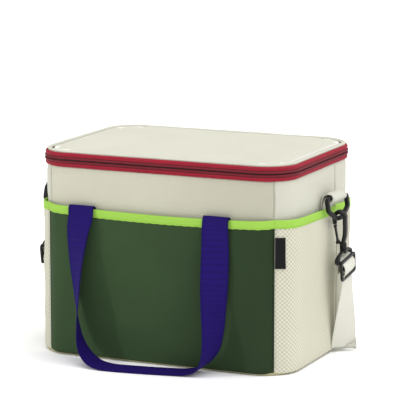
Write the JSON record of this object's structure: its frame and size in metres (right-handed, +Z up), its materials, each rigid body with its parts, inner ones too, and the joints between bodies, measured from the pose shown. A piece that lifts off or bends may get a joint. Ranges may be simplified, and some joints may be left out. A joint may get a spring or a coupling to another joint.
{
  "type": "insulated cooler bag",
  "caption": "Box-shaped soft cooler bag with a flat zipped lid, carrying handles, outer pockets, foam walls, a wipeable liner and a hooked-on shoulder strap.",
  "frame": {"origin": "Middle of the flat base, on the surface the bag stands on", "axes": "+Z up, the front with its dark pocket faces -Y, +X to the right seen from the front"},
  "size_m": [0.4173, 0.4412, 0.2728],
  "materials": {
    "beige_cloth": "woven, slightly slick",
    "green_cloth": "plain weave",
    "mesh_cloth": "knitted spacer mesh",
    "lime_binding": "plain weave binding",
    "red_tape": "ribbed zip tape",
    "zip_coil": "moulded coil",
    "purple_webbing": "ribbed webbing",
    "strap_webbing": "herringbone webbing",
    "black_plastic": "satin moulding",
    "zip_metal": "plated",
    "liner_cloth": "coated, wipeable",
    "foam": "closed-cell foam",
    "board": "sheet",
    "label_cloth": "plain woven tape",
    "piping": "piped cord"
  },
  "bodies": {
    "root": {"front_panel": "beige_cloth", "front_foam": "foam", "right_panel": "beige_cloth", "right_foam": "foam", "back_panel": "beige_cloth", "back_foam": "foam", "left_panel": "beige_cloth", "left_foam": "foam", "base_panel": "green_cloth", "base_foam": "foam", "base_board": "board", "inner_liner": "liner_cloth", "bottom_piping": "piping", "front_pocket": "green_cloth", "right_pocket": "mesh_cloth", "left_pocket": "mesh_cloth", "back_pocket": "beige_cloth", "side_label": "label_cloth", "zip_tape_body": "red_tape", "zip_coil_body": "zip_coil", "hinge_cloth_body": "beige_cloth", "strap_run": "strap_webbing", "front_pocket_binding": "lime_binding", "right_pocket_binding": "lime_binding", "back_pocket_binding": "lime_binding", "left_pocket_binding": "lime_binding", "front_handle_end_left": "purple_webbing", "back_handle_end_left": "purple_webbing", "ring_tab_left": "strap_webbing", "front_handle_end_right": "purple_webbing", "back_handle_end_right": "purple_webbing", "ring_tab_right": "strap_webbing"},
    "lid": {"lid_cover": "beige_cloth", "lid_foam": "foam", "lid_lining": "liner_cloth", "lid_piping": "piping", "zip_tape_lid": "red_tape", "zip_coil_lid": "zip_coil", "hinge_cloth_lid": "beige_cloth"},
    "zip_slider": {"zip_slider": "zip_metal"},
    "zip_pull": {"zip_pull": "zip_metal"},
    "front_handle": {"front_handle": "purple_webbing"},
    "back_handle": {"back_handle": "purple_webbing"},
    "ring_right": {"strap_ring_right": "black_plastic"},
    "strap_right": {"swivel_loop_right": "black_plastic", "strap_end_right": "strap_webbing"},
    "hook_right": {"snap_hook_right": "black_plastic"},
    "gate_right": {"hook_gate_right": "black_plastic"},
    "slider_right": {"strap_slider_right": "black_plastic", "strap_turnback_right": "strap_webbing"},
    "ring_left": {"strap_ring_left": "black_plastic"},
    "strap_left": {"swivel_loop_left": "black_plastic", "strap_end_left": "strap_webbing"},
    "hook_left": {"snap_hook_left": "black_plastic"},
    "gate_left": {"hook_gate_left": "black_plastic"},
    "slider_left": {"strap_slider_left": "black_plastic", "strap_turnback_left": "strap_webbing"}
  },
  "joints": [
    {"name": "lid_hinge", "type": "hinge", "parent": "root", "child": "lid", "pos_m": [0, 0.1285, 0.2597], "axis": [-1, 0, 0], "range_deg": [0, 105]},
    {"name": "zip_slide", "type": "slide", "parent": "root", "child": "zip_slider", "axis": [0, -1, 0], "range_m": [0, 0.13]},
    {"name": "zip_pull_swing", "type": "hinge", "parent": "zip_slider", "child": "zip_pull", "pos_m": [-0.185, 0.06, 0.2597], "axis": [0, 1, 0], "range_deg": [0, 80]},
    {"name": "front_handle_swing", "type": "hinge", "parent": "root", "child": "front_handle", "pos_m": [0, -0.1346, 0.2035], "axis": [-1, 0, 0], "range_deg": [0, 165]},
    {"name": "back_handle_swing", "type": "hinge", "parent": "root", "child": "back_handle", "pos_m": [0, 0.1346, 0.2035], "axis": [1, 0, 0], "range_deg": [0, 140]},
    {"name": "ring_tilt_right", "type": "hinge", "parent": "root", "child": "ring_right", "pos_m": [0.1915, 0.015, 0.2125], "axis": [-0.1392, -0.9903, 0], "range_deg": [0, 25]},
    {"name": "strap_swing_right", "type": "hinge", "parent": "root", "child": "strap_right", "pos_m": [0.1915, 0.015, 0.2125], "axis": [-0.1392, -0.9903, 0], "range_deg": [0, 25]},
    {"name": "hook_swivel_right", "type": "hinge", "parent": "strap_right", "child": "hook_right", "pos_m": [0.1995, 0.0205, 0.1454], "axis": [0, -0.1392, 0.9903], "range_deg": [-6, 6]},
    {"name": "gate_right", "type": "hinge", "parent": "hook_right", "child": "gate_right", "pos_m": [0.1921, 0.0194, 0.1531], "axis": [0, 0.9903, 0.1392], "range_deg": [0, 18], "stiffness_Nm_per_rad": 0.02},
    {"name": "strap_adjust_right", "type": "slide", "parent": "strap_right", "child": "slider_right", "axis": [0, -0.1392, 0.9903], "range_m": [-0.015, 0.005]},
    {"name": "ring_tilt_left", "type": "hinge", "parent": "root", "child": "ring_left", "pos_m": [-0.1915, -0.042, 0.2125], "axis": [-0.0698, 0.9976, 0], "range_deg": [0, 25]},
    {"name": "strap_swing_left", "type": "hinge", "parent": "root", "child": "strap_left", "pos_m": [-0.1915, -0.042, 0.2125], "axis": [-0.0698, 0.9976, 0], "range_deg": [0, 25]},
    {"name": "hook_swivel_left", "type": "hinge", "parent": "strap_left", "child": "hook_left", "pos_m": [-0.1995, -0.0365, 0.1454], "axis": [0, -0.1392, 0.9903], "range_deg": [-6, 6]},
    {"name": "gate_left", "type": "hinge", "parent": "hook_left", "child": "gate_left", "pos_m": [-0.1921, -0.0376, 0.1531], "axis": [0, -0.9903, -0.1392], "range_deg": [0, 18], "stiffness_Nm_per_rad": 0.02},
    {"name": "strap_adjust_left", "type": "slide", "parent": "strap_left", "child": "slider_left", "axis": [0, -0.1392, 0.9903], "range_m": [-0.015, 0.005]}
  ],
  "couplings": [
    {"joint": "ring_tilt_right", "follows": "strap_swing_right", "ratio": 1},
    {"joint": "ring_tilt_left", "follows": "strap_swing_left", "ratio": 1}
  ]
}
